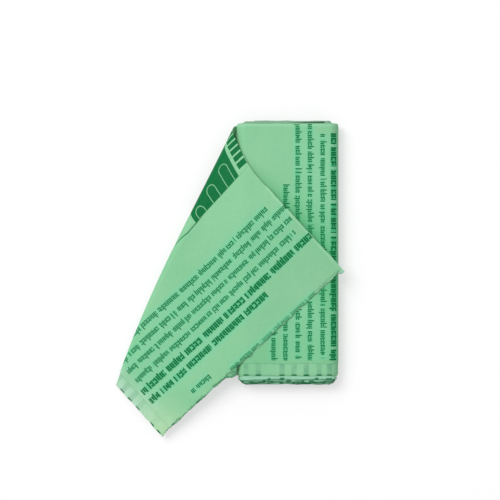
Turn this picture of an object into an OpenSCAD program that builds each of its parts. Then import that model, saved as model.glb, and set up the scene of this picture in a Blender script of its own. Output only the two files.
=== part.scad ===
// A flattened, coreless roll of folded film bags. One strip of film, wound from the middle outwards,
// leaves the roll under its left side, runs out along the surface and folds slantwise back over the top.
// X runs across the roll, Y along it, Z up. The origin is the middle of the flat underside.

/* [Roll] */
// Width of the flattened roll
roll_w = 60.5; // [45:0.5:80]
// Width of the folded strip, which is the length of the roll
strip_w = 150; // [110:1:190]
// Thickness of the folded strip
strip_t = 0.5; // [0.35:0.05:0.65]
// Number of turns that show at the ends
turns = 8; // [5:1:10]
// Distance from one turn to the next
turn_pitch = 0.75; // [0.7:0.01:1]
// Radius of the innermost bend
first_bend = 0.55; // [0.4:0.05:1]
// Where the innermost turn ends, as a share of the way to the left bend
inner_end = 0.8; // [0.5:0.05:0.95]

/* [Roll ends] */
// How far the innermost turns stand out at the upper end
upper_dome = 1.8; // [0:0.1:4]
// Shape of the upper end: the larger, the fewer turns stand out
upper_shape = 12; // [0.5:0.5:20]
// How far the inner turns stand out at the lower end
lower_dome = 4.8; // [0:0.1:8]
// Shape of the lower end: below 1 its corners are round and full
lower_shape = 0.65; // [0.5:0.05:2]
// How far single turns wander in or out of line
turn_wander = 0.25; // [0:0.05:0.4]
// Depth of the grooves between the turns
groove_depth = 2.4; // [1:0.1:5]

/* [Layers of the strip] */
// Width of the stepped edge, where the outer layer stops short
step_w = 7; // [3:0.5:12]
// Thickness of the outer layer
layer_t = 0.2; // [0.1:0.05:0.25]
// Length of the extra layer that laps over the free end
lap_len = 79; // [50:1:95]
// Thickness of the extra layer
lap_t = 0.3; // [0.1:0.05:0.5]

/* [Free end] */
// Length of strip from the roll to the free end
free_len = 119; // [98:1:145]
// Clearance between the free end and the roll
gap = 0.4; // [0.25:0.05:1]
// How far the upper edge of the free end has slipped inwards
upper_slip = 8.9; // [0:0.1:12]
// How far the lower edge of the free end has slipped outwards
lower_slip = 4.4; // [0:0.1:8]
// Length over which the strip slips sideways
slip_len = 45; // [20:1:60]
// Depth of the notches along the torn end
tear_depth = 0.9; // [0:0.1:2]
// Height to which the upper edge lifts off the roll
edge_lift = 3.2; // [0:0.1:6]

/* [Slanting fold] */
// Angle of the fold to the width of the roll
fold_angle = 63.6; // [58:0.2:68]
// Distance from the fold's start to the middle of the roll's left bend
fold_in = 0.6; // [0:0.05:1.5]
// Distance below the strip where the two faces of the fold would meet
fold_point = 30.5; // [24:0.5:60]
// How far the fold bows outwards, most below its middle
fold_bow = 4; // [0:0.1:6]

/* [Hidden] */
$fn = 96;
half_w = strip_w / 2;
half_t = strip_t / 2;

// The winding. Right bends share one centre, left bends another half a pitch higher, so that each run
// of the spiral meets the next bend without a step.
function right_r(i) = first_bend + i * turn_pitch;
function left_r(i) = right_r(i) + turn_pitch / 2;
last = turns - 1;
bend_x = roll_w / 2 - right_r(last) - half_t;
right_z = right_r(last) + half_t;
left_z = right_z + turn_pitch / 2;
function dome(i, shape) = pow(1 - pow(i / last, 2), shape);
wander_step = 137;
wander_start = 40;
function wander(i) = i < last ? turn_wander * sin(wander_step * i + wander_start) : 0;
function upper_y(i) = half_w + upper_dome * dome(i, upper_shape) + wander(i);
function lower_y(i) = -half_w - lower_dome * dome(i, lower_shape) + wander(i + 3);

// The fold is a cone between the plane of the surface and a plane that rises over the roll's left bend.
start_in = 1.9;
start_x = -bend_x + fold_in + start_in;
point = [
    -bend_x + fold_in - (strip_w + fold_point) / tan(fold_angle),
    -half_w - fold_point,
    half_t
];
over_r = left_r(last - 1) + half_t + gap + half_t;
to_bend = [-bend_x - point[0], left_z - point[2]];
rise = atan2(to_bend[1], to_bend[0]) + asin(over_r / norm(to_bend));
slope_len = sqrt(pow(norm(to_bend), 2) - pow(over_r, 2));
along = [cos(fold_angle), sin(fold_angle), 0];
outward = [-sin(fold_angle), cos(fold_angle), 0];
cone_a = atan(along[0] * tan(rise / 2));
axis_v = cos(cone_a) * along + sin(cone_a) * [0, 0, 1];
up_v = cos(cone_a) * [0, 0, 1] - sin(cone_a) * along;
turned = 2 * atan2(outward[1], sin(cone_a) * along[1]);
swept = turned * sin(cone_a);

// A line of the cone, the direction across it, and the direction out of it, at an angle round the axis.
function line_v(t) = cos(cone_a) * axis_v + sin(cone_a) * (sin(t) * outward - cos(t) * up_v);
function across_v(t) = sin(t) * up_v + cos(t) * outward;
function out_v(t) = cos(cone_a) * (sin(t) * outward - cos(t) * up_v) - sin(cone_a) * axis_v;

// Where a point of the flat strip goes. x and y are its place with the strip laid out flat to the left,
// and off is its distance from the middle of the strip's thickness towards the outer face.
function place(x, y, off) =
    let (
        away = [x - point[0], y - point[1]],
        r = norm(away),
        t = atan2(away[1], away[0]) - fold_angle
    )
    t <= 0 ? [x, y, half_t - off]
    : t < swept ? point + r * line_v(t / sin(cone_a)) + off * out_v(t / sin(cone_a))
    : on_slope(point + r * (cos(t - swept) * line_v(turned) + sin(t - swept) * across_v(turned)), off);

// The rising plane bends level over the roll's left bend.
function on_slope(p, off) =
    let (
        u = (p[0] - point[0]) / cos(rise),
        left = rise - (u - slope_len) / over_r * 180 / PI
    )
    u <= slope_len ? p + off * [-sin(rise), 0, cos(rise)]
    : left > 0 ? [-bend_x - (over_r + off) * sin(left), p[1], left_z + (over_r + off) * cos(left)]
    : [-bend_x - over_r * left * PI / 180, p[1], left_z + over_r + off];

// The free end as a sheet: rows from the lower edge of the strip to the upper edge, and columns from
// the roll to the torn end, closer together round the fold. The first column is tucked into the roll's
// lowest run, a little thinner and narrower than the run.
tuck_len = 1;
tuck = 0.05;
row_n = 37;
fold_n = 10;
plain_n = 3;
lap_n = 12;
ramp = 0.3;
step_share = step_w / strip_w;
row_shares = concat(
    [0, step_share, step_share + ramp / strip_w],
    [for (k = [1:row_n]) step_share + ramp / strip_w + (1 - step_share - ramp / strip_w) * k / row_n]
);
function smooth(t) = let (c = min(1, max(0, t))) c * c * (3 - 2 * c);
function slip(x) = smooth((-bend_x - x) / slip_len);
function row_y(share, x) =
    (1 - share) * (-half_w - lower_slip * slip(x)) + share * (half_w - upper_slip * slip(x))
    + (x > start_x ? tuck * (1 - 2 * share) : 0);

// Where a row crosses the line of the fold at an angle, found in a few rounds because the row slips.
function fold_x(share, angle, rounds = 4, y = undef) =
    let (
        from_y = is_undef(y) ? -half_w + share * strip_w : y,
        x = point[0] + (from_y - point[1]) / tan(angle)
    )
    rounds < 1 ? x : fold_x(share, angle, rounds - 1, row_y(share, x));
tear_least = 0.6;
tear_step = 73;
function notch(k) = tear_depth * (k % 2) * (tear_least + (1 - tear_least) * sin(tear_step * k));
function end_x(k) = -bend_x - free_len + notch(k);
function columns(k) =
    let (
        share = row_shares[k],
        x1 = fold_x(share, fold_angle),
        x2 = fold_x(share, fold_angle + swept),
        lap_x = min(-bend_x - free_len + lap_len, x2 - 2 * ramp),
        tip = end_x(k)
    )
    concat(
        [start_x + tuck_len, start_x - tuck_len],
        [for (j = [0:fold_n]) x1 + (x2 - x1) * j / fold_n],
        [for (j = [1:plain_n]) x2 + (lap_x - x2) * j / plain_n],
        [for (j = [0:lap_n]) lap_x - ramp + (tip + 2 * ramp - lap_x + ramp) * j / lap_n],
        [tip + ramp, tip]
    );

// The extra layer starts with a step. Where it would start under the fold, it thickens over the fold's
// upper half, so that the underside stays flat.
first_fold = 2;
first_lap = first_fold + fold_n + 1 + plain_n;
last_lap = first_lap + lap_n;
function steps(k) = -bend_x - free_len + lap_len < fold_x(row_shares[k], fold_angle + swept) - 2 * ramp;
function lap_share(k, j) =
    k < 2 || j > last_lap ? 0
    : steps(k) ? (j < first_lap ? 0 : 1)
    : min(1, max(0, 2 * (j - first_fold) / fold_n - 1));
function outer_off(k, j) = half_t - (k < 2 ? layer_t : 0) - (j < 1 ? tuck : 0) + lap_t * lap_share(k, j);
function inner_off(j) = (j < 1 ? tuck : 0) - half_t;

// Lift of the upper edge off the roll, and the outward bow of the fold, both fading smoothly.
lift_from = 0.55;
bow_reach = 20;
bow_fade = 1.5;
function lift(share, x, x2) =
    edge_lift * smooth((share - lift_from) / (1 - lift_from))
    * max(0, sin(180 * (x2 - x) / (x2 + bend_x + free_len)));
function bow(share, x, x1, x2) =
    fold_bow * 4 * share * pow(1 - share, bow_fade) * exp(-pow((x - (x1 + x2) / 2) / bow_reach, 2));
function sheet_point(k, x, off) =
    let (
        share = row_shares[k],
        x1 = fold_x(share, fold_angle),
        x2 = fold_x(share, fold_angle + swept),
        raised = x < x2 ? lift(share, x, x2) : 0
    )
    place(x, row_y(share, x), off) + bow(share, x, x1, x2) * outward + [0, 0, raised];

module free_end() {
    rows = len(row_shares);
    cols = last_lap + 3;
    outer = [for (k = [0:rows - 1]) let (xs = columns(k))
        for (j = [0:cols - 1]) sheet_point(k, xs[j], outer_off(k, j))];
    inner = [for (k = [0:rows - 1]) let (xs = columns(k))
        for (j = [0:cols - 1]) sheet_point(k, xs[j], inner_off(j))];
    count = rows * cols;
    skin = [for (k = [0:rows - 2]) for (j = [0:cols - 2]) let (a = k * cols + j)
        each [[a, a + cols, a + cols + 1], [a, a + cols + 1, a + 1]]];
    lining = [for (f = skin) [f[2] + count, f[1] + count, f[0] + count]];
    ends = [for (k = [0:rows - 2]) let (a = k * cols, b = a + cols - 1)
        each [[a, a + count, a + cols + count, a + cols], [b + cols, b + cols + count, b + count, b]]];
    sides = [for (j = [0:cols - 2]) let (a = j, b = (rows - 1) * cols + j)
        each [[a + 1, a + 1 + count, a + count, a], [b, b + count, b + 1 + count, b + 1]]];
    polyhedron(concat(outer, inner), concat(skin, lining, ends, sides), convexity = 8);
}

// A length of the roll with one cross-section.
module along_roll(low, high) {
    translate([0, high, 0]) rotate([90, 0, 0]) linear_extrude(high - low) children();
}

module half_ring(r, inside, outside, side) {
    translate([side > 0 ? bend_x : -bend_x, side > 0 ? right_z : left_z]) intersection() {
        difference() {
            circle(r + outside);
            circle(r - inside);
        }
        translate([side > 0 ? 0 : -2 * r, -2 * r]) square([2 * r, 4 * r]);
    }
}

module run(x1, x2, low, high) {
    translate([x1, low]) square([x2 - x1, high - low]);
}

// One turn of the spiral: left bend, upper run, right bend, lower run. The first has no left bend.
module turn_profile(i, inside, outside) {
    upper_z = right_z + right_r(i);
    lower_z = right_z - right_r(i);
    if (i > 0) half_ring(left_r(i - 1), inside, outside, -1);
    run(i > 0 ? -bend_x : -bend_x * inner_end, bend_x, upper_z - inside, upper_z + outside);
    half_ring(right_r(i), inside, outside, 1);
    run(i < last ? -bend_x : start_x, bend_x, lower_z - outside, lower_z + inside);
}

// What lies inside a turn, up to the middle of its thickness.
module fill_profile(i) {
    translate([bend_x, right_z]) circle(right_r(i));
    translate([-bend_x, left_z]) circle(left_r(i - 1));
    run(-bend_x, bend_x, right_z - right_r(i), right_z + right_r(i));
}

module wound_turns() {
    for (i = [0:last - 1]) along_roll(lower_y(i), upper_y(i)) turn_profile(i, half_t, half_t);
    for (i = [1:last]) along_roll(lower_y(i) + groove_depth, upper_y(i) - groove_depth) fill_profile(i);
}

// The outermost turn. Its outer layer stops short of the lower edge, as on the free end.
module outer_turn() {
    along_roll(-half_w + step_w, half_w) turn_profile(last, half_t, half_t);
    along_roll(-half_w, -half_w + step_w) turn_profile(last, half_t, half_t - layer_t);
}

module bag_roll() {
    color([0.55, 0.8, 0.6]) union() {
        wound_turns();
        outer_turn();
        free_end();
    }
}

bag_roll();
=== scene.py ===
# %% [markdown]
# # A flattened roll of folded film bags
#
# The object is a roll of thin green bags without a core. Each bag is folded into one long strip of
# film, and the strip is wound up and pressed flat. The outer end runs out from under the roll, turns
# over in a slanting fold and lies back across the top. Everything here is therefore one surface: a
# point is given by how far it lies from the torn end (s), how far up the strip's width (share), and
# how far out of the strip's middle (off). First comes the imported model, which fixes the frame.

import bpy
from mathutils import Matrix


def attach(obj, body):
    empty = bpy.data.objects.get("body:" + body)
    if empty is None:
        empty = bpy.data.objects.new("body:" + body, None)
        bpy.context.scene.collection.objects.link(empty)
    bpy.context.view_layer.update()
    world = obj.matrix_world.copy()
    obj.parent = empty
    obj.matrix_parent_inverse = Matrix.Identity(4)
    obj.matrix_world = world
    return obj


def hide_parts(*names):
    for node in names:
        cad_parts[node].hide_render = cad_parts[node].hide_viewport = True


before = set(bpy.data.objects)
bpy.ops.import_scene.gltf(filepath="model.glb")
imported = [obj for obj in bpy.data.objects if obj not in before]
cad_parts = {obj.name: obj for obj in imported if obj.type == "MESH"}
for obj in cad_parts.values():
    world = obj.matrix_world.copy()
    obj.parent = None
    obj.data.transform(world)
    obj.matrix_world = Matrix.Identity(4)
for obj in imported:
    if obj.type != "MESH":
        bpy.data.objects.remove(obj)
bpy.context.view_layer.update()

# %% [markdown]
# ## The measures
#
# These are the same named values as in the part's source, in millimetres, so that the film lies where
# the solid is. Angles are in radians. They could be read off the solid's mesh, but formulas in named
# values stay exact and show how the roll is made.

# %% Measures of the roll and of its free end
from math import asin, atan, atan2, cos, hypot, pi, radians, sin, tan

import bpy
import numpy as np

MM = 0.001
roll_w, strip_w, strip_t = 60.5, 150.0, 0.5
turns, turn_pitch, first_bend, inner_end = 8, 0.75, 0.55, 0.8
upper_dome, upper_shape, lower_dome, lower_shape = 1.8, 12.0, 4.8, 0.65
step_w = 7.0
free_len, gap, upper_slip, lower_slip, slip_len, edge_lift = 119.0, 0.4, 8.9, 4.4, 45.0, 3.2
fold_angle, fold_in, fold_point, fold_bow, bow_reach, bow_fade = radians(63.6), 0.6, 30.5, 4.0, 20.0, 1.5
lift_from, start_in = 0.55, 1.9
half_w, half_t, last = strip_w / 2, strip_t / 2, turns - 1
outer_r = first_bend + last * turn_pitch
bend_x = roll_w / 2 - outer_r - half_t
right_z = outer_r + half_t
left_z = right_z + turn_pitch / 2
print(f"bends at x = {bend_x:.2f} mm, roll {2 * right_z:.1f} mm thick")

# %% [markdown]
# ## The path of the strip in the roll
#
# In the pressed roll each turn is a run along the floor, a bend on the right, a run along the top and a
# bend on the left. Right bends share one centre and left bends another, half a pitch higher, so the
# bends meet the runs without a step. A spline through points would do too, but these four pieces are
# exact, and the pressed roll really has flat runs.

# %% Middle line of the wound strip
def wound_pieces():
    """Length, kind and radius of each piece from the outermost turn inwards."""
    for i in range(last, -1, -1):
        r = first_bend + i * turn_pitch
        yield from ((2 * bend_x, 0, r), (pi * r, 1, r), (2 * bend_x, 2, r))
        if i:
            yield (pi * (r - turn_pitch / 2), 3, r - turn_pitch / 2)


piece_len, piece_kind, piece_r = (np.array(v) for v in zip(*wound_pieces()))
piece_end = np.cumsum(piece_len)
wound_len = piece_end[-1] - bend_x * (1 - inner_end)
turn_start = np.concatenate([[0], piece_end[3::4]])


def wound_line(w):
    """x and z of the middle line w mm inwards from the foot of the left bend, and the outward direction.

    Along a run x changes by the length. Along a bend the angle is length over radius, and the point is
    the bend's centre plus the radius times the sine and cosine of that angle."""
    k = np.searchsorted(piece_end, np.clip(w, 0, piece_end[-1] - 1e-6), side="right")
    along, r, kind = w - (piece_end - piece_len)[k], piece_r[k], piece_kind[k]
    turn = along / r
    across = r * np.sin(turn)
    x = np.choose(kind, [along - bend_x, bend_x + across, bend_x - along, -bend_x - across])
    z = np.choose(kind, [right_z - r, right_z - r * np.cos(turn), right_z + r, left_z + r * np.cos(turn)])
    out_x = np.choose(kind, [0 * turn, np.sin(turn), 0 * turn, -np.sin(turn)])
    out_z = np.choose(kind, [0 * turn - 1, -np.cos(turn), 0 * turn + 1, np.cos(turn)])
    return x, z, out_x, out_z


print(f"{wound_len:.0f} mm of strip in {turns} turns")

# %% [markdown]
# ## The slanting fold
#
# The strip leaves the roll flat on the floor, turns over and rises onto the roll. A fold between two
# planes that aren't parallel is part of a cone: tight where the planes meet, wide where the fold has to
# pass round the roll. A point keeps its distance from the cone's tip, so the film isn't stretched.
# Bending a flat mesh with modifiers could look alike, but the cone keeps the print's lengths true.

# %% The fold's cone
over_r = outer_r - turn_pitch / 2 + half_t + gap + half_t
tip = np.array([-bend_x + fold_in - (strip_w + fold_point) / tan(fold_angle), -half_w - fold_point, half_t])
to_bend = (-bend_x - tip[0], left_z - tip[2])
rise = atan2(to_bend[1], to_bend[0]) + asin(over_r / hypot(*to_bend))
slope_len = (hypot(*to_bend) ** 2 - over_r**2) ** 0.5
upward = np.array([0.0, 0.0, 1.0])
along_fold = np.array([cos(fold_angle), sin(fold_angle), 0.0])
outward = np.array([-sin(fold_angle), cos(fold_angle), 0.0])
cone_a = atan(along_fold[0] * tan(rise / 2))
cone_axis = cos(cone_a) * along_fold + sin(cone_a) * upward
cone_up = cos(cone_a) * upward - sin(cone_a) * along_fold
turned = 2 * atan2(outward[1], sin(cone_a) * along_fold[1])
swept = turned * sin(cone_a)


def joined(*parts):
    """Coordinates side by side as one array of points."""
    return np.stack(np.broadcast_arrays(*parts), -1)


def cone_side(t):
    """Unit direction away from the cone's axis at an angle t round it, counted from straight below."""
    return np.sin(t)[..., None] * outward - np.cos(t)[..., None] * cone_up


def over_roll(flat, off):
    """Points of the rising plane, carried on over the roll's left bend and level along its top."""
    u = (flat[..., 0] - tip[0]) / cos(rise)
    left = rise - (u - slope_len) / over_r
    rising = flat + off[..., None] * np.array([-sin(rise), 0.0, cos(rise)])
    x = np.where(left > 0, -bend_x - (over_r + off) * np.sin(left), -bend_x - over_r * left)
    z = left_z + (over_r + off) * np.where(left > 0, np.cos(left), 1.0)
    return np.where((u <= slope_len)[..., None], rising, joined(x, flat[..., 1], z))


def folded(x, y, off):
    """Where a point of the strip goes that would lie at x, y with the strip laid out flat to the left.

    Its angle round the cone's tip says which part it is on: before the fold it stays on the floor, in
    the fold it goes round the cone by that angle, and after it the point is on the rising plane."""
    x, y, off = np.broadcast_arrays(x, y, off)
    r = np.hypot(x - tip[0], y - tip[1])
    t = np.arctan2(y - tip[1], x - tip[0]) - fold_angle
    side = cone_side(np.clip(t, 0, swept) / sin(cone_a))
    line = cos(cone_a) * cone_axis + sin(cone_a) * side
    on_cone = tip + r[..., None] * line + off[..., None] * (cos(cone_a) * side - sin(cone_a) * cone_axis)
    across = sin(turned) * cone_up + cos(turned) * outward
    last_line = cos(cone_a) * cone_axis + sin(cone_a) * cone_side(np.array(turned))
    past = t - swept
    plane = tip + r[..., None] * (np.cos(past)[..., None] * last_line + np.sin(past)[..., None] * across)
    on_floor = joined(x, y, half_t - off)
    return np.where((t <= 0)[..., None], on_floor,
                    np.where((t < swept)[..., None], on_cone, over_roll(plane, off)))


print(f"the flap rises {np.degrees(rise):.1f} degrees; the fold's radius grows to "
      f"{(strip_w + fold_point) / sin(fold_angle) * sin(cone_a):.1f} mm")

# %% [markdown]
# ## One surface for the whole strip
#
# Now the two parts become one function of s, share and off. The free end has slipped a little sideways,
# its fold bows outwards, and its upper edge stands off the roll. In the roll, the inner turns stand out
# at both ends. Every edge wanders by a few tenths of a millimetre, as film does. Noise could move the
# edges at random, but sums of sines are smooth and the same in each run.

# %% Slip, lift and bow of the free end
def smooth(t):
    """0 below 0, 1 above 1, and the curve 3t^2 - 2t^3 between."""
    c = np.clip(t, 0, 1)
    return c * c * (3 - 2 * c)


def waves(at, lengths, seed):
    """A sum of sines of these wavelengths, each with its own phase, of height about 1."""
    phases = [seed * 2.399 + 1.7 * i for i in range(len(lengths))]
    return sum(np.sin(2 * pi * at / n + p) for n, p in zip(lengths, phases)) / len(lengths) ** 0.5


def row_y(share, x):
    """y of a row: left of the roll both edges slip down over slip_len, the upper one further."""
    slip = smooth((-bend_x - x) / slip_len)
    return (1 - share) * (-half_w - lower_slip * slip) + share * (half_w - upper_slip * slip)


def fold_at(share, angle):
    """s where a row crosses the line of the fold at this angle, found in a few rounds because rows slip."""
    y = -half_w + share * strip_w
    for _ in range(6):
        x = tip[0] + (y - tip[1]) / tan(angle)
        y = row_y(share, x)
    return x + bend_x + free_len


def fold_lines(share):
    """s where a row goes into the fold on the floor, and s where it comes out of it on top."""
    return fold_at(share, fold_angle), fold_at(share, fold_angle + swept)


def free_end(s, share, off, side_shift):
    """The folded strip with its lift and its bow.

    The lift grows to the upper edge and is half a sine wave from the fold to the torn end. The bow is a
    bell curve round the middle of the fold, and fades out at both edges."""
    x = s - bend_x - free_len
    floor_s, top_s = fold_lines(share)
    arch = np.sin(pi * np.clip((top_s - s) / top_s, 0, 1))
    lift = edge_lift * smooth((share - lift_from) / (1 - lift_from)) * arch
    bow = fold_bow * 4 * share * np.clip(1 - share, 0, 1) ** bow_fade
    bow = bow * np.exp(-(((s - (floor_s + top_s) / 2) / bow_reach) ** 2))
    flat = folded(x, row_y(share, x) + side_shift, off)
    return flat + bow[..., None] * outward + lift[..., None] * upward


# %% The whole strip
turn_marks = np.ravel(np.stack([turn_start, turn_start + 2 * bend_x], -1))
turn_values = np.ravel(np.stack([np.arange(turns) - 1, np.arange(turns)], -1))


def dome(w, shape):
    """(1 - t^2)^shape, where t is 1 in the outermost turn and 0 in the innermost. Each turn keeps its
    value and passes to the next one's along its lower run, out of sight."""
    t = 1 - np.clip(np.interp(w, turn_marks, turn_values), 0, last) / last
    return (1 - t**2) ** shape


def in_roll(w, share, off, side_shift):
    """The wound line's point moved out by off, at y in proportion between the two ends of its turn."""
    x, z, out_x, out_z = wound_line(w)
    upper = half_w + upper_dome * dome(w, upper_shape)
    lower = half_w + lower_dome * dome(w, lower_shape)
    return joined(x + off * out_x, share * upper - (1 - share) * lower + side_shift, z + off * out_z)


def strip_point(s, share, off, side_shift=0.0):
    """Point of the strip: the free end up to just inside the roll, the wound line from there on."""
    s, share, off, side_shift = np.broadcast_arrays(s, share, off, side_shift)
    w = s - free_len
    free = free_end(np.minimum(s, free_len + fold_in + start_in), share, off, side_shift)
    wound = in_roll(np.maximum(w, 0), share, off, side_shift)
    return np.where((w > fold_in + start_in)[..., None], wound, free)


corners = strip_point(np.array([0.0, 0.0]), np.array([0.0, 1.0]), np.array([half_t, half_t]))
print("torn corners at, in mm:", corners.round(1).tolist())

# %% [markdown]
# ## A layer of film as a closed mesh
#
# A layer is the strip's surface twice, as its outer and its inner face, with a narrow rim between. Both
# faces share one grid, so the mesh is closed without merging anything. A flat sheet with a Solidify
# modifier would be less work, but then the layers couldn't press each other thinner where they turn
# under. Each corner of a face also gets its place on the strip, for the print, and a place in a flat
# layout of the whole layer.

# %% Faces and flat layout of a shell
rim_lane = 0.004


def shell_faces(rows, cols, first):
    """Faces of one closed shell: its outer skin, its inner skin turned round, and the rim between."""
    count = rows * cols
    at = np.arange(count).reshape(rows, cols) + first
    skin = np.stack([at[:-1, :-1], at[1:, :-1], at[1:, 1:], at[:-1, 1:]], -1).reshape(-1, 4)
    ring = np.concatenate([at[0, :-1], at[:-1, -1], at[-1, :0:-1], at[:0:-1, 0]])
    after = np.roll(ring, -1)
    rim = np.stack([ring, after, after + count, ring + count], -1)
    return [skin, skin[:, ::-1] + count, rim]


def flat_layout(k, count, rows, cols):
    """Places of shell k of count when they lie flat side by side, each with its outer face in the left
    half and its inner face in the right half. The rim lies in the narrow lane round the outer face."""
    v, u = np.meshgrid(np.linspace(0, 1, rows), np.linspace(0, 1, cols), indexing="ij")
    half = (1 - 4 * rim_lane) / 2
    left = joined((k + rim_lane + half * u) / count, rim_lane + (1 - 2 * rim_lane) * v)
    right = left + np.array([(half + 2 * rim_lane) / count, 0])
    return [left.reshape(-1, 2), right.reshape(-1, 2)]


# %% Closed layer from two grids
def layer_mesh(name, shells):
    """One mesh from shells of (outer points, inner points, s, y, nearness to an edge), each of them a
    grid of rows by columns."""
    points, faces, strip_uv, flat_uv, backs, edges, first = [], [], [], [], [], [], 0
    for k, (outer, inner, s, y, edge) in enumerate(shells):
        points += [outer.reshape(-1, 3), inner.reshape(-1, 3)]
        faces += shell_faces(*s.shape, first)
        strip_uv += 2 * [joined(s, y).reshape(-1, 2)]
        flat_uv += flat_layout(k, len(shells), *s.shape)
        backs += [np.zeros(s.size), np.ones(s.size)]
        edges += 2 * [edge.ravel()]
        first += 2 * s.size
    mesh = bpy.data.meshes.new(name)
    mesh.from_pydata((np.concatenate(points) * MM).tolist(), [], np.concatenate(faces).tolist())
    corner = np.zeros(len(mesh.loops), np.int32)
    mesh.loops.foreach_get("vertex_index", corner)
    for layout, places in (("strip", strip_uv), ("OFBake", flat_uv)):
        at_corners = np.concatenate(places)[corner].astype(np.float32)
        mesh.uv_layers.new(name=layout).uv.foreach_set("vector", at_corners.ravel())
    for attribute, values in (("inner_face", backs), ("edge", edges)):
        mesh.attributes.new(attribute, "FLOAT", "POINT").data.foreach_set("value", np.concatenate(values))
    mesh.polygons.foreach_set("use_smooth", np.ones(len(mesh.polygons), bool))
    mesh.update()
    print(f"{name}: {len(mesh.vertices)} points, {len(mesh.polygons)} faces")
    return bpy.data.objects.new(name, mesh)


def shown(piece, material):
    """Puts a finished piece of film into the scene on the roll's body, and hides the solid roll that it
    stands in for.
    """
    bpy.context.scene.collection.objects.link(piece)
    piece.data.materials.append(material)
    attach(piece, "root")
    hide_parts("bag_roll")


# %% [markdown]
# ## Shader building blocks
#
# The film's colour and print are worked out by nodes. Written out one by one they would hide the idea,
# so a small helper adds a node and hands back its output. The print could be painted as a picture, but
# a formula in the strip's own coordinates stays sharp at any distance.

# %% Node helper
class Nodes:
    """Adds nodes to a material or a world. A value is a number, a tuple or another node's output."""

    def __init__(self, owner):
        owner.use_nodes = True
        self.tree = owner.node_tree
        self.tree.nodes.clear()

    def add(self, kind, values=(), **settings):
        node = self.tree.nodes.new("ShaderNode" + kind)
        for key, value in settings.items():
            setattr(node, key, value)
        for key, value in dict(values).items():
            if isinstance(value, bpy.types.NodeSocket):
                self.tree.links.new(value, node.inputs[key])
            else:
                node.inputs[key].default_value = value
        return node

    def math(self, operation, *values):
        return self.add("Math", enumerate(values), operation=operation).outputs[0]

    def product(self, *values):
        found = values[0]
        for value in values[1:]:
            found = self.math("MULTIPLY", found, value)
        return found

    def largest(self, *values):
        found = values[0]
        for value in values[1:]:
            found = self.math("MAXIMUM", found, value)
        return found

    def from_to(self, share, low, high):
        """low where the share is 0, high where it is 1, and in proportion between."""
        return self.math("MULTIPLY_ADD", share, high - low, low)

    def ramp01(self, value, low, high):
        """0 below low, 1 above high, and a straight line between; falling where high is below low."""
        return self.add("MapRange", {0: value, 1: low, 2: high}).outputs[0]

    def between(self, value, low, high, soft=0.08):
        """1 where value is between low and high, with soft edges of this width."""
        up = self.ramp01(value, self.math("SUBTRACT", low, soft), self.math("ADD", low, soft))
        down = self.ramp01(value, self.math("ADD", high, soft), self.math("SUBTRACT", high, soft))
        return self.math("MULTIPLY", up, down)

    def mix(self, share, first, second):
        node = self.add("Mix", {0: share, 6: first, 7: second}, data_type="RGBA")
        return node.outputs[2]

    def noise(self, where, scale, detail=2.0, rough=0.5):
        values = {"Vector": where, "Scale": scale, "Detail": detail, "Roughness": rough}
        return self.add("TexNoise", values).outputs["Fac"]

    def random(self, where, w=0.0):
        """Three numbers from 0 to 1 for each value of where and w."""
        values = {"Vector": where, "W": w}
        colour = self.add("TexWhiteNoise", values, noise_dimensions="4D").outputs["Color"]
        return self.add("SeparateColor", {0: colour}).outputs


def srgb(*values):
    """The linear colour of three sRGB numbers from 0 to 255."""
    part = np.array(values) / 255
    linear = np.where(part > 0.04045, ((part + 0.055) / 1.055) ** 2.4, part / 12.92)
    return (*linear.tolist(), 1.0)


# %% [markdown]
# ## The print
#
# The bags are printed with rows of small print across the strip, two of them bold, and with one dark
# field. On this roll the rows say nothing: each is a line of short upright strokes and dashes, whose
# heights, places and gaps are random. A table gives each row's foot line, ends and weight. The shader
# looks a row up by its distance from the torn end in a Color Ramp without blending, which is one node
# instead of a chain of comparisons for each row.

# %% The table of rows
# foot line (mm from the torn end), where the row starts and ends across the strip (mm), bold or not;
# a row that ends where it starts has no strokes, only the bar past its end
flap_rows = [
    (2.4, 53, -16, 0), (8.4, -28, -43, 0), (21.2, 31, -66, 1), (28.1, 75, -66, 1),
    (34.9, 69, -64, 0), (41.7, 73, -64, 0), (48.3, 75, -64, 0), (54.8, 66, -64, 0),
]
roll_rows = [
    (184.3, 69.5, -66, 1), (190.4, 69, -65, 0), (197.9, 75, -66, 0),
    (205.1, 75, -65, 0), (212.3, 39, -66, 0), (219.3, -38, -66, 0), (226.2, -66, -66, 0),
    (233.4, -66, -66, 0),
]
row_reach = 255.0
tall, descent = 3.8, 1.3


def row_table(n, s):
    """Foot line, start, end and boldness of the row that is nearest to s, as four outputs.

    A row's stretch of the ramp starts between the foot of the row before and its own tall strokes."""
    node = n.add("ValToRGB", {0: n.math("DIVIDE", s, row_reach)})
    node.color_ramp.interpolation = "CONSTANT"
    rows = flap_rows + roll_rows
    elements = node.color_ramp.elements
    while len(elements) < len(rows):
        elements.new(1.0)
    feet = [row[0] for row in rows]
    starts = [0.0] + [max((a + b) / 2 - tall / 2 + 0.6, a + descent) for a, b in zip(feet, feet[1:])]
    for element, start, (foot, first, final, bold) in zip(elements, starts, rows):
        element.position = start / row_reach
        element.color = (foot / row_reach, first / strip_w + 0.5, final / strip_w + 0.5, bold)
    part = n.add("SeparateColor", {0: node.outputs["Color"]}).outputs
    foot = n.math("MULTIPLY", part[0], row_reach)
    first, final = (n.math("MULTIPLY_ADD", p, strip_w, -half_w) for p in part[1:3])
    return foot, first, final, node.outputs["Alpha"]


# %% Marks in the cells of a row
cell_w, low_mark, stroke_half = 2.2, 2.6, 0.152
cell_w_bold, low_mark_bold, stroke_half_bold = 2.8, 3.7, 0.197
first_at, second_at, dash_from, dash_to = 0.17, 0.64, 0.4, 0.86


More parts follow.
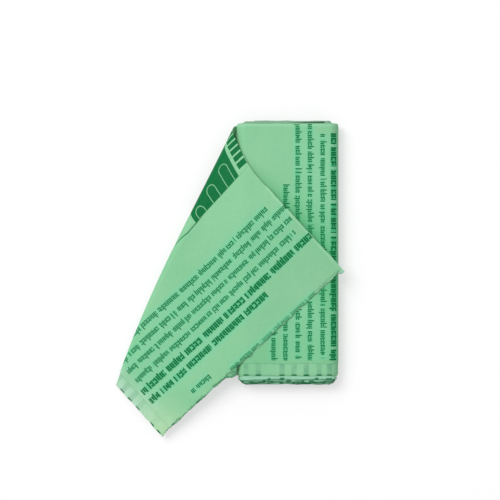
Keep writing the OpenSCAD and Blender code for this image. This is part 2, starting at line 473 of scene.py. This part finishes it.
def cell_marks(n, cells, height, foot, bold, mark_h):
    """Mask of an upright stroke in each cell and, clear of it, a second, shorter one or two dashes.

    Random numbers of the cell say which of them it has, and how high they are. Places in a cell and the
    half width of a stroke are shares of the cell's width."""
    part = n.math("FRACT", cells)
    cell = n.add("CombineXYZ", {0: n.math("FLOOR", cells), 1: foot}).outputs[0]
    form, more = n.random(cell), n.random(cell, 5.0)
    half = n.from_to(bold, stroke_half, stroke_half_bold)

    def upright(middle, top, low):
        near = n.math("LESS_THAN", n.math("ABSOLUTE", n.math("SUBTRACT", part, middle)), half)
        return n.product(near, n.math("LESS_THAN", height, top), n.math("GREATER_THAN", height, low))

    def dash(level):
        off_level = n.math("SUBTRACT", height, n.math("MULTIPLY", mark_h, level))
        return n.math("LESS_THAN", n.math("ABSOLUTE", off_level), n.from_to(bold, 0.36, 0.56))

    top = n.largest(mark_h, n.math("MULTIPLY", n.math("GREATER_THAN", form[0], 0.76), tall))
    low = n.math("MULTIPLY", n.math("LESS_THAN", form[0], 0.1), -0.9)
    shorter = n.math("MULTIPLY", mark_h, n.from_to(more[1], 0.72, 1.02))
    second = n.math("MULTIPLY", n.math("LESS_THAN", form[1], 0.42), upright(second_at, shorter, 0.0))
    dashes = n.largest(dash(n.from_to(more[1], 0.1, 0.4)), dash(n.from_to(more[2], 0.65, 0.9)))
    dashed = n.math("LESS_THAN", n.math("ABSOLUTE", n.math("SUBTRACT", form[1], 0.66)), 0.24)
    dashes = n.product(dashes, dashed, n.between(part, dash_from, dash_to, 0.02))
    return n.largest(upright(first_at, top, low), second, dashes)


# %% Rows of marks, and bars past their ends
def strokes(n, s, y):
    """Masks of the printed marks, of a haze between them, and of a halo round the row.

    Along a row the strip is cut into cells. Words are the cells of a one-dimensional Voronoi pattern,
    left bare near their borders."""
    foot, first, final, bold = row_table(n, s)
    height, along = n.math("SUBTRACT", foot, s), n.math("SUBTRACT", first, y)
    cells = n.math("DIVIDE", along, n.from_to(bold, cell_w, cell_w_bold))
    mark_h = n.from_to(bold, low_mark, low_mark_bold)
    along_row = n.math("MULTIPLY_ADD", foot, 7.3, n.math("DIVIDE", cells, 6.5))
    words = n.add("TexVoronoi", {"W": along_row, "Scale": 1.0},
                  voronoi_dimensions="1D", feature="DISTANCE_TO_EDGE").outputs["Distance"]
    in_word = n.math("GREATER_THAN", words, 0.05)
    in_row = n.product(n.math("GREATER_THAN", along, 0.0), n.math("GREATER_THAN", y, final))
    # The row on the torn end itself is worn, more so in its upper half.
    on_torn_end = n.math("LESS_THAN", foot, 4.0)
    wear = n.from_to(n.ramp01(y, 12.0, -2.0), -0.5, -0.2)
    faint = n.math("MULTIPLY_ADD", on_torn_end, wear, 1.0)
    printed = n.product(cell_marks(n, cells, height, foot, bold, mark_h), in_word, in_row, faint)
    haze = n.product(n.between(height, 0.0, mark_h, 0.6), in_word, in_row, n.from_to(bold, 1.0, 1.6))
    halo = n.product(n.between(height, -1.6, n.math("ADD", mark_h, 1.6), 1.2), in_row)
    return printed, haze, halo


def bars_past_end(n, s, y):
    """Mask of a plain bar in line with each row, from where the row ends to the lower edge."""
    foot, _, final, _ = row_table(n, s)
    height = n.math("SUBTRACT", foot, s)
    return n.product(n.between(height, 0.2, 3.3, 0.5), n.between(y, -half_w - 1, final, 0.4))


# %% Dark field and bars
field_from, field_to, field_low, field_high = 60.0, 138.0, 29.0, 66.4
lane_w, capsule_from, capsule_step, capsule_r, line_w = 12.4, 77.4, 4.4, 2.85, 0.45
bars_from, bars_to, bars_low, bars_high, bar_step, bar_share = 79.0, 111.0, 68.6, 75.6, 4.7, 0.74


def field_and_bars(n, s, y):
    """Mask of the dark field with light capsule outlines, and of the row of plain bars beside it.

    A capsule is the set of points at one distance from a straight line, so its outline is where that
    distance is between two values. There is one to a lane, each reaching a step further than the last."""
    field = n.math("MULTIPLY", n.between(s, field_from, field_to), n.between(y, field_low, field_high))
    lane = n.math("DIVIDE", n.math("SUBTRACT", y, field_low), lane_w)
    off_middle = n.math("MULTIPLY", n.math("SUBTRACT", n.math("FRACT", lane), 0.5), lane_w)
    round_end = n.math("MULTIPLY_ADD", n.math("FLOOR", lane), capsule_step, capsule_from)
    beyond = n.math("MAXIMUM", n.math("SUBTRACT", s, round_end), 0.0)
    away = n.math("SQRT", n.math("ADD", n.math("POWER", beyond, 2.0), n.product(off_middle, off_middle)))
    outline = n.between(away, capsule_r, capsule_r + line_w, 0.06)
    field = n.math("MULTIPLY", field, n.from_to(outline, 1.0, 0.0))
    bar_part = n.math("FRACT", n.math("DIVIDE", n.math("SUBTRACT", s, bars_from), bar_step))
    bars = n.product(n.between(s, bars_from, bars_to), n.math("LESS_THAN", bar_part, bar_share),
                     n.between(y, bars_low, bars_high))
    return n.math("MAXIMUM", field, bars)


# %% Dashes along folded edges
row_step = 7.1


def edge_dashes(n, s, y):
    """Mask of the dashes where rows of print run over the folded edges of the strip.

    In every step between rows one may cross the edge. Random numbers say whether, and how wide it is."""
    rows = n.math("DIVIDE", s, row_step)
    rnd = n.random(n.add("CombineXYZ", {0: n.math("FLOOR", rows)}).outputs[0])
    low = n.math("MULTIPLY", rnd[1], 0.3)
    high = n.math("MULTIPLY_ADD", rnd[2], 0.35, n.math("ADD", low, 0.2))
    here = n.product(n.between(n.math("FRACT", rows), low, high, 0.02), n.math("GREATER_THAN", rnd[0], 0.3))
    rim = n.math("SUBTRACT", n.math("ABSOLUTE", y), half_w)
    return n.math("MULTIPLY", here, n.ramp01(rim, -1.3, -0.9))


# %% [markdown]
# ## The film
#
# The film is a thin, pale green plastic that can rot away. Folded many times it hides what lies below
# it. It has a satin sheen and soft creases. Two greens vary slowly over it, the print lies on top as
# darker ink, and noise of three sizes makes the surface uneven. Clear, see-through film would be the first
# idea, but so many layers lie on each other that the strip is opaque. What little light does pass is
# painted into the colour: a green halo round each row, a pale single layer along the flap's lower edge,
# and a deeper green beside the flap, which is painted shade. Painted light, a painted highlight and
# painted shade also lie on some corners, edges and ends.

# %% Colours
# The colours of the rims, of the gap between the turns and the shade colour are painted shade; the bright
# colour is a painted highlight; the colours of the pale corner, the inner face and the lower end are
# painted light.
film_colour, film_pale, pale_colour = srgb(138, 204, 156), srgb(148, 210, 163), srgb(214, 240, 226)
ink_colour, haze_colour, halo_colour = srgb(2, 114, 60), srgb(58, 184, 126), srgb(118, 216, 168)
ghost_colour, rim_shade_colour, highlight_colour = srgb(92, 158, 126), srgb(70, 142, 102), srgb(166, 226, 184)
tip_colour, corner_light_colour, inner_light_colour = srgb(154, 196, 176), srgb(178, 222, 176), srgb(196, 250, 212)
grey_colour, end_light_colour, gap_shade_colour = srgb(142, 184, 154), srgb(160, 216, 188), srgb(30, 84, 52)
shade_colour = srgb(50, 180, 106)


# %% Plain film
flap_until, roll_from = 62.0, 150.0


class Film(Nodes):
    """The shader of one layer. It starts as plain film, and the functions below lay things over it.

    s and y are the place on the strip in mm, and place is the one in the roll's own frame in metres."""

    def __init__(self, name):
        self.material = bpy.data.materials.new(name)
        super().__init__(self.material)
        on_strip = self.add("UVMap", uv_map="strip").outputs[0]
        self.s, self.y = self.add("SeparateXYZ", {0: on_strip}).outputs[:2]
        self.where = self.add("TexCoord").outputs["Object"]
        self.place = self.add("SeparateXYZ", {0: self.where}).outputs
        self.on_back = self.add("Attribute", attribute_name="inner_face").outputs["Fac"]
        self.edge = self.add("Attribute", attribute_name="edge").outputs["Fac"]
        self.on_flap = self.math("LESS_THAN", self.s, flap_until)
        self.on_roll = self.math("GREATER_THAN", self.s, roll_from)
        self.speckle = self.noise(self.where, 900.0)
        self.ridges = self.noise(self.where, 260.0, 2.0, 0.45)
        self.cloudy = self.ramp01(self.noise(self.where, 110.0, 3.0, 0.65), 0.36, 0.6)
        drift = self.ramp01(self.noise(self.where, 24.0, 3.0), 0.32, 0.68)
        self.colour, self.ink = self.mix(drift, film_colour, film_pale), 0.0
        self.lay(haze_colour, self.ramp01(self.speckle, 0.45, 0.75), 0.12)

    def lay(self, colour, *shares):
        """Mixes a colour over what is there, by the product of the shares."""
        self.colour = self.mix(self.product(*shares), self.colour, colour)

    def ink_over(self, *masks):
        """Adds masks to the ink, which is laid on last."""
        self.ink = self.largest(self.ink, *masks)


# %% Print and thin places
def rows_of_print(film, haze_share):
    """Rows of strokes, in a haze and a wider halo where the film under the ink lets light through."""
    printed, haze, halo = strokes(film, film.s, film.y)
    film.lay(halo_colour, halo, 0.4)
    film.lay(haze_colour, haze, haze_share)
    film.ink_over(printed)


def pale_lower_edge(film):
    """On the flap the film is thin along the lower edge and looks pale, in patches."""
    thin = film.product(film.ramp01(film.y, -60.0, -72.0), film.ramp01(film.s, 64.0, 56.0))
    film.lay(pale_colour, thin, film.from_to(film.cloudy, 0.2, 0.46))


# %% Gape, crease and shade
# the line of the flap's upper edge: its unit normal in mm per metre, and its place along that in mm
edge_x, edge_y, edge_at = 742.0, 671.0, 16.1


def gape_and_crease(film):
    """Painted shade: a dark line at the far end of the extra layer, where it gapes, and a dark crease
    beside the torn end.
    """
    # painted shade where the extra layer's end gapes, laid on with the ink
    gape = film.product(film.ramp01(film.edge, 0.0, 0.3), film.ramp01(film.s, 60.0, 61.0),
                        film.between(film.y, 2.0, 33.0, 3.0), 0.85)
    # painted shade of a crease beside the torn end, laid on with the ink
    off_crease = film.math("SUBTRACT", film.s, film.from_to(film.noise(film.where, 160.0), 1.5, 2.3))
    crease_shade = film.product(film.between(off_crease, -0.1, 0.15, 0.15),
                          film.between(film.y, 50.0, 71.0, 2.0), 0.55)
    film.ink_over(gape, crease_shade)


def shade_beside_flap(film):
    """Painted shade, green, on the roll beside the flap's upper edge, and weaker painted shade low on the
    roll.

    The distance in mm from the line of that edge is X and Y times its normal, less the line's place.
    One shade falls off within 7 mm and a weaker one within 20 mm. Both fade out high up on the roll."""
    x, y = film.place[:2]
    beside = film.math("MULTIPLY_ADD", x, edge_x, film.math("MULTIPLY_ADD", y, edge_y, -edge_at))
    close, wide = film.ramp01(beside, 7.0, 1.0), film.ramp01(beside, 20.0, 4.0)
    shade = film.math("ADD", film.product(close, 0.26), film.product(wide, 0.24))
    shade = film.product(shade, film.ramp01(y, 0.052, 0.022), film.ramp01(beside, -30.0, -10.0))
    shade = film.math("ADD", shade, film.math("MULTIPLY", film.ramp01(y, -0.03, -0.055), 0.14))
    film.lay(shade_colour, shade, film.on_roll)


# %% What the base layer shows
bar_shift, bare_from, bare_to = 2.5, 217.5, 223.0


def base_marks(film):
    """Bars past the rows' ends, each with a dark dash at the edge, the tip's colour, and painted shade on
    the tongue.

    This layer's bars lie a little further from the torn end than the rows, and one row has none."""
    past_end = bars_past_end(film, film.math("SUBTRACT", film.s, bar_shift), film.y)
    past_end = film.product(past_end, film.from_to(film.between(film.s, bare_from, bare_to), 1.0, 0.0))
    film.lay(ghost_colour, past_end, film.from_to(film.on_roll, 0.32, 0.52),
             film.from_to(film.cloudy, 0.4, 1.15))
    film.lay(tip_colour, film.between(film.y, 70.5, 80.0, 0.8), film.ramp01(film.s, 1.6, 0.0))
    tongue = film.product(film.between(film.y, -28.0, -6.0, 1.0), film.ramp01(film.s, 0.6, -0.4))
    # painted shade on the torn tongue, in patches, in the rims' colour
    film.lay(rim_shade_colour, tongue, film.from_to(film.ramp01(film.speckle, 0.42, 0.58), 0.25, 0.9))
    film.ink_over(film.product(past_end, film.ramp01(film.y, -74.0, -74.4)))


# %% What the inner turns show
# the place of the painted shade in the gap between the turns, in metres
gap_top, gap_slope, gap_bottom, gap_left, gap_right = 0.0752, 0.045, 0.07, 0.0, 0.0225
gap_low, gap_high = 0.0072, 0.0092


def ends_of_turns(film):
    """Grey at the upper end, painted light with dashes at the lower, and painted shade in a gap in the
    upper end's right half.

    The gap lies below a line that rises a little to the right, between two values of X, and between
    the heights of the turns that stand apart."""
    x, y, z = film.place
    film.lay(grey_colour, film.ramp01(film.y, 72.0, 74.0), 0.9)
    # painted light: the turned edges at the lower end are made paler
    film.lay(end_light_colour, film.ramp01(film.y, -68.0, -72.0), 0.7)
    above = film.math("SUBTRACT", y, film.math("MULTIPLY_ADD", x, gap_slope, gap_top))
    gap_shade = film.product(film.ramp01(above, 0.0002, -0.0002), film.math("GREATER_THAN", y, gap_bottom),
                             film.ramp01(x, gap_left, gap_left + 0.005),
                             film.ramp01(x, gap_right, gap_right - 0.001),
                             film.between(z, gap_low, gap_high, 0.0001))
    # painted shade in the gap between the turns
    film.lay(gap_shade_colour, gap_shade, 0.85)
    film.ink_over(film.product(edge_dashes(film, film.s, film.y), film.ramp01(film.y, 1.0, 0.0), 0.85))


# %% Edges and ink
def edges_and_ink(film, edge_highlight=0.42, upper_rim_shade=0.3, inner_light_share=0.0):
    """Lays on what all films share: painted light at the pale corner and on the inner face, a painted
    highlight along the upper edge, painted shade on the rims, and the ink.
    """
    on_front = film.from_to(film.on_back, 1.0, 0.0)
    # painted light: paler towards the flap's lower corner at the torn end
    film.lay(corner_light_colour, film.ramp01(film.y, -48.0, -72.0), film.ramp01(film.s, 28.0, 2.0))
    # painted light: the inner face of the base layer is lightened where it shows in shade by the fold
    film.lay(inner_light_colour, film.on_back, inner_light_share)
    # painted highlight along the upper edge, on the flap and on the roll
    top_shown = film.largest(film.on_flap, film.on_roll)
    film.lay(highlight_colour, film.ramp01(film.y, 73.2, 74.2), top_shown, on_front, edge_highlight)
    # painted shade along the rims of each layer, uneven, stronger on the lower half of the strip
    uneven = film.from_to(film.ramp01(film.ridges, 0.4, 0.56), 0.4, 0.95)
    lower_half = film.from_to(film.ramp01(film.y, 5.0, -25.0), upper_rim_shade, 1.0)
    film.lay(rim_shade_colour, film.ramp01(film.edge, 0.0, 0.6), lower_half, uneven)
    worn = film.from_to(film.ramp01(film.noise(film.where, 500.0, 3.0), 0.35, 0.65), 0.98, 1.0)
    film.lay(ink_colour, film.ink, worn, film.from_to(film.on_back, 1.0, 0.4))


# %% Surface
def surface(film):
    """Soft creases and a satin sheen.

    The bump is a long wrinkle less half a ridge, plus a fine grain. A ridge is the distance of a noise
    from its middle value, so it has a sharp crest."""
    stretched = film.add("Mapping", {0: film.where, 3: (1.0, 0.4, 1.0)}).outputs[0]
    wrinkle = film.noise(stretched, 130.0, 3.0, 0.55)
    ridge = film.math("ABSOLUTE", film.math("SUBTRACT", film.ridges, 0.5))
    creased = film.math("SUBTRACT", wrinkle, film.math("MULTIPLY", ridge, 0.5))
    height = film.math("MULTIPLY_ADD", film.noise(film.where, 2200.0), 0.05, creased)
    bump = film.add("Bump", {"Strength": 0.6, "Distance": 0.0006, "Height": height}).outputs[0]
    shader = film.add("BsdfPrincipled", {
        "Base Color": film.colour, "Roughness": film.from_to(wrinkle, 0.4, 0.56), "Normal": bump,
        "Specular IOR Level": 0.08})
    film.add("OutputMaterial", {0: shader.outputs[0]})
    print(f"{film.material.name}: {len(film.tree.nodes)} nodes")


# %% The four films
base_film = Film("base_film")
pale_lower_edge(base_film)
base_marks(base_film)
edges_and_ink(base_film, inner_light_share=0.8)

outer_film = Film("outer_film")
rows_of_print(outer_film, 0.52)
pale_lower_edge(outer_film)
outer_film.ink_over(field_and_bars(outer_film, outer_film.s, outer_film.y))
shade_beside_flap(outer_film)
edges_and_ink(outer_film)

lap_film = Film("lap_film")
rows_of_print(lap_film, 0.36)
pale_lower_edge(lap_film)
gape_and_crease(lap_film)
edges_and_ink(lap_film)

wound_film = Film("wound_film")
ends_of_turns(wound_film)
edges_and_ink(wound_film, edge_highlight=0.0, upper_rim_shade=0.0)

for film in (base_film, outer_film, lap_film, wound_film):
    surface(film)

# %% [markdown]
# ## The layers of the outer strip
#
# At the free end three layers can be told apart: the strip itself, an outer layer that stops 7 mm short
# of the lower edge, and an extra layer that covers the last 8 cm. Each is one closed mesh over the same
# surface. Where the extra layer turns under with the fold, the others are pressed thinner, so that the
# stack stays above the floor. A cloth simulation could lay the film down by itself, but its waves would
# fall anywhere, and the ones on this roll have known places.

# %% Rows and columns of the grid
run_columns, bend_columns, to_fold, in_fold, rows_across = 8, 14, 40, 26, 180


def stations(first, final):
    """Lengths along the wound strip at which the grid has a column: more to a bend than to a run."""
    ends = np.concatenate([[0], piece_end])
    parts = [np.linspace(a, b, bend_columns if kind % 2 else run_columns, endpoint=False)
             for a, b, kind in zip(ends, piece_end, piece_kind)]
    w = np.concatenate(parts)
    return np.concatenate([[first], w[(w > first + 0.2) & (w < final - 0.2)], [final]])


def columns(share, start_s, end_s, past_fold):
    """s of the grid's columns for each row: close together at the start, in the fold and at the end."""
    floor_s, top_s = fold_lines(share)
    fold_from, fold_to = np.clip(top_s, start_s, end_s - 3), np.clip(floor_s, start_s + 1.5, end_s - 1.5)
    before, inside, after = (np.linspace(0, 1, n + 1)[None] for n in (to_fold, in_fold, past_fold))
    parts = [start_s + (fold_from - start_s) * before[:, :-1] ** 1.6]
    parts.append(fold_from + (fold_to - fold_from) * inside[:, :-1])
    parts.append(fold_to + (end_s - fold_to) * (1 - (1 - after) ** 1.4))
    return np.concatenate(parts, 1)


def edged(width, count):
    """Places from 0 to 1 across a width in mm: close together at both edges, even between."""
    edge = np.array([0, 0.25, 0.7, 1.4]) / width
    return np.concatenate([edge, np.linspace(edge[-1], 1 - edge[-1], count)[1:-1], 1 - edge[::-1]])


# %% Lean, dents and the extra layer's end
lean_most, lean_low, lean_rise, lean_about, lean_until, lean_fade = 0.075, -40.0, 110.0, 5.0, 85.0, 25.0
lap_from, lap_more, more_from = 76.4, 6.3, 22.0


def print_place(s, y):
    """s as the print counts it: the wrapped film leans, so its rows fan out a little to the upper edge.

    The distance from the row that stays level is divided by one plus the lean, which grows with the
    power 1.5 of the height."""
    lean = lean_most * np.clip((y - lean_low) / lean_rise, 0, 1) ** 1.5
    lean = lean * (1 - smooth((s - lean_until) / lean_fade))
    return (s + lean_about * lean) / (1 + lean)


def lap_end(share):
    """s at which the extra layer ends: straight across the lower half, leaning further out above."""
    y = share * strip_w - half_w
    return lap_from + lap_more * np.clip((y - more_from) / (half_w - more_from), 0, 1) ** 0.8


def under(s, share):
    """1 where the strip has turned under, 0 on top, falling over the upper half of the fold."""
    floor_s, top_s = fold_lines(share)
    return 1 - np.clip(2 * (floor_s - s) / (floor_s - top_s) - 1, 0, 1)


def relief(s, share):
    """Soft dents of the flap: a few long waves along and across, only where it lies free on top."""
    y = share * strip_w
    free = smooth((fold_lines(share)[1] - s) / 12)
    return free * (0.16 * waves(s + 0.3 * y, (37, 61), 2) + 0.12 * waves(y - 0.4 * s, (29, 47), 5))


# %% Grid of one layer
thin_edge, thin_within, rim_within = 0.33, 1.4, 0.8


def torn(y, seed):
    """How far back the film is torn: short waves whose lower halves are cut off, and two long ones."""
    return 0.45 * np.maximum(0, waves(y, (1.9, 2.3, 5.1), seed)) + 0.35 * waves(y, (11.3, 17.0), seed + 1)


def edge_shift(s, across, seed):
    """Sideways wander of both edges, and how far the strip is pulled narrower in the roll.

    Powers of the place across keep each of them near its own edge."""
    upper_waves, lower_waves = waves(s, (17, 41, 9), seed + 2), waves(s, (13, 33, 8), seed + 3)
    wander = 0.22 * (across**8 * upper_waves + (1 - across) ** 8 * lower_waves)
    return wander, smooth((s - 105) / 12) * (1.2 * (1 - across) ** 4 - 0.7 * across**4)


def layer_shell(start, end, low, levels, past_fold, seed, extra, tail=()):
    """Outer and inner points of one layer, its place on the strip, and how near each point is to an end.

    low is the share of the width at which the layer begins. levels gives the inner and outer distance
    from the strip's middle. Towards its edges the layer thins out to a third. tail holds the columns
    that carry it on into the roll."""
    across = edged((1 - low) * strip_w, rows_across)[:, None]
    share = low + (1 - low) * across
    start_s = start(share) + torn(share * strip_w, seed)
    s = columns(share, start_s, end(share) + 0 * share, past_fold)
    if len(tail):
        s = np.concatenate([s[:, :-1], np.broadcast_to(tail, (len(s), len(tail)))], 1)
    share, across = np.broadcast_to(share, s.shape), np.broadcast_to(across, s.shape)
    wander, narrower = edge_shift(s, across, seed)
    from_end = np.minimum(s - start_s, s[:, -1:] - s)
    inside = np.minimum.reduce([from_end, (share - low) * strip_w, (1 - share) * strip_w])
    thinned = thin_edge + (1 - thin_edge) * smooth(inside / thin_within)
    inner_off, outer_off = levels(s, share)
    outer_off = inner_off + (outer_off - inner_off) * thinned
    outer_face, inner_face = (
        strip_point(s, share, off + relief(s, share), wander + narrower) + extra(s, share)
        for off in (outer_off, inner_off))
    y = share * strip_w - half_w
    return outer_face, inner_face, print_place(s, y), y + wander, 1 - np.clip(from_end / rim_within, 0, 1)


# %% How thick each layer is
def pressed(s, share):
    """How much a layer is pressed by the extra layer: where that lies under the fold."""
    return under(s, share) * (1 - smooth((s - lap_end(share)) / 3))


def base_levels(s, share):
    """Up to the strip's middle, and in the roll a little deeper inwards, so that no gap shows."""
    deeper = 0.17 * smooth((s - free_len - 4) / 6)
    return -half_t - deeper, 0.04 - 0.09 * pressed(s, share)


def outer_levels(s, share):
    """From just above the strip's middle to its outer face."""
    q = pressed(s, share)
    return 0.055 - 0.09 * q, half_t - 0.15 * q


def lap_levels(s, share):
    """On top of the outer face, and little more than half as thick where it has turned under."""
    q = under(s, share)
    return 0.265 - 0.15 * q, 0.5 - 0.25 * q


# %% Curls, gape and tongue
tip_len, tongue_len = 1.1, 3.4


def ruffle(height, seed):
    """Upward waves of the torn end, fading within a few millimetres from it. Over the roll the end also
    droops to the turns below."""
    def extra(s, share):
        wave = np.maximum(0, waves(share * strip_w, (9.1, 5.3, 13.7), seed))
        droop = 0.3 * smooth((share - 0.3) / 0.1)
        return ((height * wave - droop) * np.exp(-np.maximum(s, 0) / 2.5))[..., None] * upward
    return extra


def lap_rise(s, share):
    """The torn end ruffles, and the extra layer's other end gapes beside the fold, as a bell curve."""
    near = np.exp(-(((lap_end(share) - s) / 5) ** 2))
    gape = near * smooth((share - 0.42) / 0.1) * smooth((0.74 - share) / 0.12)
    return ruffle(0.3, 3)(s, share) + (0.9 * gape * (1 - under(s, share)))[..., None] * upward


def base_start(share):
    """The base layer runs out into a small tip at its upper corner and a torn tongue further down."""
    tongue = np.exp(-(((share - 0.385) / 0.026) ** 2))
    return -tip_len * smooth((share - 0.972) / 0.012) - tongue_len * tongue


def base_rise(s, share):
    """The tip curls up, most at its very end, and the torn end ruffles a little."""
    curl = smooth((share - 0.96) / 0.03) * np.exp(-np.maximum(s + tip_len, 0) / 2)
    return curl[..., None] * upward + ruffle(0.1, 9)(s, share)


# %% Base, outer and extra layer
step = step_w / strip_w
free_end_s = 122.5
in_roll_at = free_len + stations(free_end_s - free_len, turn_start[1] + bend_x)
base = layer_shell(base_start, lambda share: free_end_s, 0.0, base_levels, 12, 11, base_rise, in_roll_at)
outer = layer_shell(lambda share: 0.6, lambda share: free_end_s, step, outer_levels, 12, 23,
                    ruffle(0.15, 5), in_roll_at)
lap = layer_shell(lambda share: 0.3, lap_end, step, lap_levels, 24, 31, lap_rise)
shown(layer_mesh("film_base", [base]), base_film.material)
shown(layer_mesh("film_outer", [outer]), outer_film.material)
shown(layer_mesh("film_lap", [lap]), lap_film.material)

# %% [markdown]
# ## The turns inside the roll
#
# Only their ends show, as a stack of thin turned edges that stand out towards the middle. Each turn is
# three layers, the outermost of which stops short at the lower end, and every layer wanders by itself.
# Solid rings would be simpler, but the thin layers are what makes the ends look wound.

# %% Wound turns
def wound_shell(low_off, high_off, short, seed):
    """One layer of all inner turns; short says how far it stops short of the lower end.

    The fourth power of the share keeps the waves of each end from reaching the other."""
    across = np.concatenate([[0, 0.002, 0.005, 0.01, 0.02, 0.05, 0.12], np.linspace(0.25, 0.75, 5)])
    across = np.concatenate([across, 1 - across[6::-1]])[:, None]
    w = stations(turn_start[1] + bend_x - 1.0, wound_len)[None]
    w, share = np.broadcast_arrays(w, across)
    shift = (1 - share) ** 4 * (0.7 + short + 0.35 * waves(w, (83, 31, 17), seed))
    shift = shift + share**4 * (0.2 * waves(w, (71, 37, 13), seed + 1) - 0.4)
    outer_face, inner_face = (in_roll(w, share, off + 0 * w, shift) for off in (high_off, low_off))
    inside = np.minimum(share, 1 - share) * strip_w
    return outer_face, inner_face, w + free_len, share * strip_w - half_w, 1 - np.clip(inside / 0.6, 0, 1)


turn_layers = [wound_shell(-0.46, -0.28, 0.3, 3), wound_shell(-0.25, -0.04, 0.0, 7),
               wound_shell(-0.01, 0.22, 5.5, 13)]
shown(layer_mesh("wound_turns", turn_layers), wound_film.material)

# %% [markdown]
# ## Floor, light and camera
#
# The roll lies on a white sheet under a large soft lamp from the upper left. The floor adds light of its
# own only where the camera or a reflection sees it, so that it renders white while it keeps the roll's
# shadow. A shadow catcher over plain white would look alike, but it throws no light back at the roll's
# sides. The camera looks straight down from 1.2 m, as in the photograph.

# %% Floor and world
white, floor_grey, floor_glow, fill_strength = (1, 1, 1, 1), (0.54, 0.54, 0.54, 1), 0.5, 0.55
floor_reach, floor_z = 4.0, -0.00015
sheet = bpy.data.materials.new("white_floor")
n = Nodes(sheet)
path = n.add("LightPath").outputs
seen = n.largest(path["Is Camera Ray"], path["Is Glossy Ray"], path["Is Transmission Ray"])
plain = n.add("BsdfDiffuse", {"Color": floor_grey}).outputs[0]
glow = n.add("Emission", {"Color": white, "Strength": n.math("MULTIPLY", seen, floor_glow)}).outputs[0]
n.add("OutputMaterial", {0: n.add("AddShader", {0: plain, 1: glow}).outputs[0]})

floor_mesh = bpy.data.meshes.new("floor")
square = ((-1, -1), (1, -1), (1, 1), (-1, 1))
floor_corners = [(x * floor_reach, y * floor_reach, floor_z) for x, y in square]
floor_mesh.from_pydata(floor_corners, [], [(0, 1, 2, 3)])
floor_mesh.materials.append(sheet)
floor = bpy.data.objects.new("floor", floor_mesh)
bpy.context.scene.collection.objects.link(floor)

world = bpy.data.worlds.new("studio")
bpy.context.scene.world = world
n = Nodes(world)
fill = n.add("Background", {"Color": white, "Strength": fill_strength}).outputs[0]
backdrop = n.add("Background", {"Color": white}).outputs[0]
for_camera = n.add("LightPath").outputs["Is Camera Ray"]
n.add("OutputWorld", {0: n.add("MixShader", {0: for_camera, 1: fill, 2: backdrop}).outputs[0]})

# %% Lamp and camera
from mathutils import Vector

lamp = bpy.data.lights.new("soft_lamp", "AREA")
lamp.shape, lamp.size, lamp.energy = "SQUARE", 1.9, 64.0
lamp_object = bpy.data.objects.new("soft_lamp", lamp)
lamp_object.location = (-1.55, 1.45, 2.6)
lamp_object.rotation_euler = (-Vector(lamp_object.location)).to_track_quat("-Z", "Y").to_euler()
camera = bpy.data.cameras.new("camera")
camera_x, camera_y, camera_height, frame_width = -22.0, 0.15, 1200.0, 297.0
camera.lens = camera.sensor_width * camera_height / frame_width
camera_object = bpy.data.objects.new("camera", camera)
camera_object.location = (camera_x * MM, camera_y * MM, camera_height * MM)
for thing in (lamp_object, camera_object):
    bpy.context.scene.collection.objects.link(thing)
scene = bpy.context.scene
scene.camera = camera_object
scene.view_settings.view_transform = "Standard"
print(f"the camera sees {frame_width:.0f} mm at the floor, through a lens of {camera.lens:.0f} mm")
